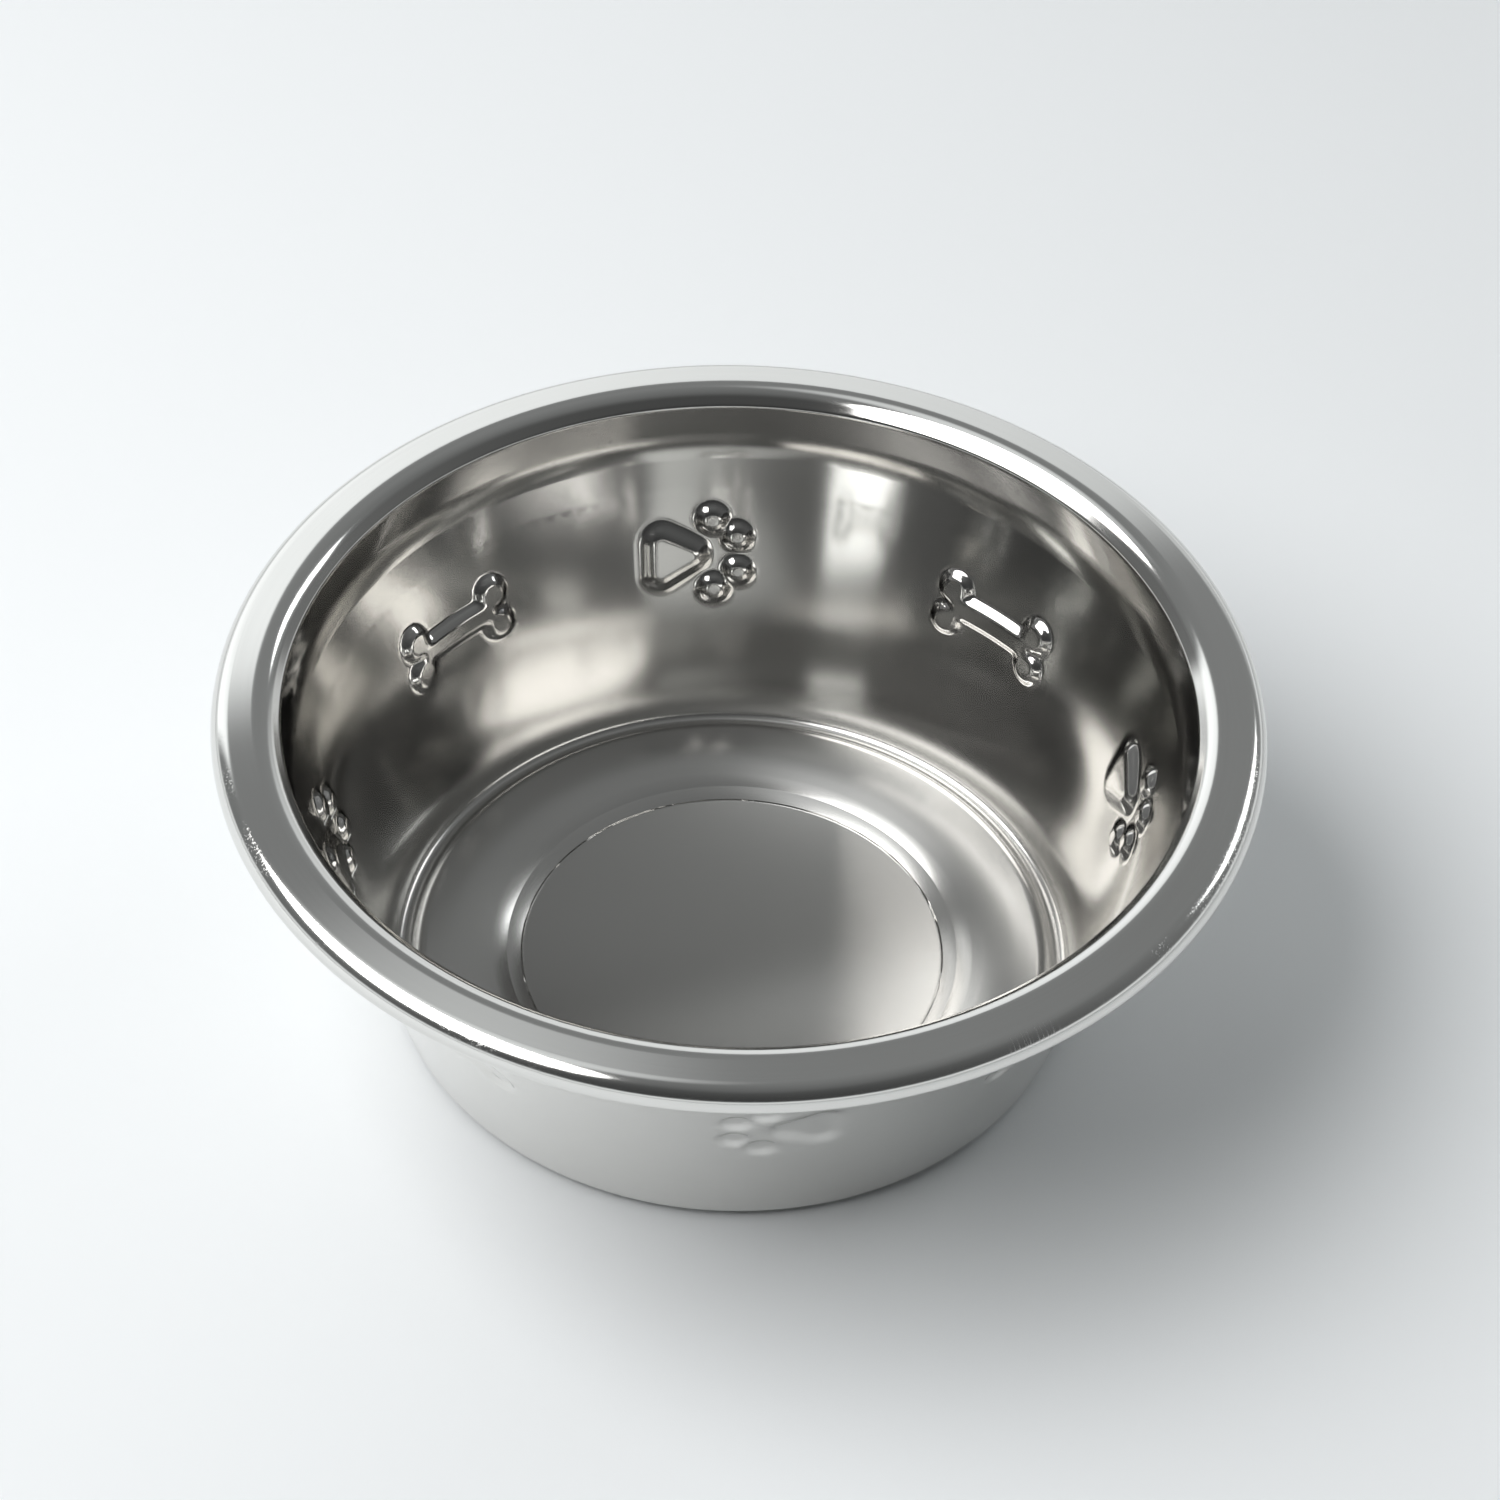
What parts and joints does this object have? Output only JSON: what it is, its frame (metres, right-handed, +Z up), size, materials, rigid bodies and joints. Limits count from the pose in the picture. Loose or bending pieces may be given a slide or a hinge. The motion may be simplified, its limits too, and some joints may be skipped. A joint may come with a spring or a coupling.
{
  "type": "dog bowl",
  "caption": "Round polished steel feeding bowl with a curled rim flange, a flared wall embossed with paws and bones, a sunk centre disc and a rubber non-slip ring under the base.",
  "frame": {"origin": "on the table under the middle of the bowl, at the sole of the non-slip ring", "axes": "+Z up along the bowl's axis, -Y towards the front as pictured, +X to the right"},
  "size_m": [0.165, 0.165, 0.061],
  "materials": {
    "steel": "polished sheet, with a satin brushed centre disc",
    "rubber": "matte black moulded rubber"
  },
  "bodies": {
    "root": {"bowl_shell": "steel", "non_slip_ring": "rubber"}
  },
  "joints": []
}
